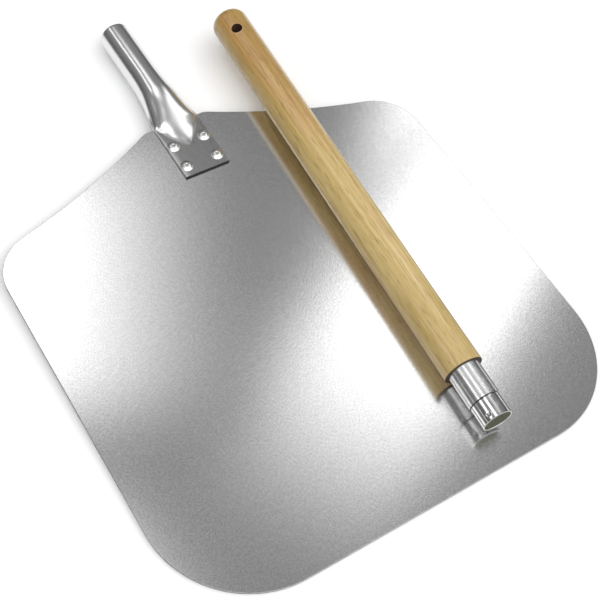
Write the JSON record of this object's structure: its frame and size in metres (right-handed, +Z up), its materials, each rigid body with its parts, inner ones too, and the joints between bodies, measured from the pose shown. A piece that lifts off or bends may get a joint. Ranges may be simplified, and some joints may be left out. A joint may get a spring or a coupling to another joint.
{
  "type": "pizza peel",
  "caption": "Flat sheet-metal pizza peel with rounded corners and a riveted tube socket; its round wooden handle with threaded ferrule lies detached on the blade.",
  "frame": {"origin": "on the blade's underside, on its centre line, half a blade width behind the front edge, where the centre of a pizza as wide as the blade would be", "axes": "+Z up, square to the blade; +Y along the blade's centre line towards the socket; +X to the right seen from the front edge"},
  "size_m": [0.3556, 0.4688, 0.0418],
  "materials": {
    "blade_metal": "satin, fine pebbled mill grain",
    "tube_metal": "semi-bright drawn tube",
    "rivet_metal": "polished by the rivet set",
    "handle_wood": "clear satin lacquer over lengthwise grain",
    "ferrule_metal": "bright, threaded",
    "nail_steel": "plain steel"
  },
  "bodies": {
    "peel": {"blade": "blade_metal", "socket": "tube_metal", "rivet_front_left": "rivet_metal", "rivet_front_right": "rivet_metal", "rivet_back_left": "rivet_metal", "rivet_back_right": "rivet_metal"},
    "handle": {"handle_grip": "handle_wood", "ferrule": "ferrule_metal", "ferrule_nail_1": "nail_steel", "ferrule_nail_2": "nail_steel"}
  },
  "joints": [
    {"name": "handle_lift", "type": "slide", "parent": "peel", "child": "handle", "axis": [0, 0, 1], "range_m": [0, 0.25]}
  ]
}
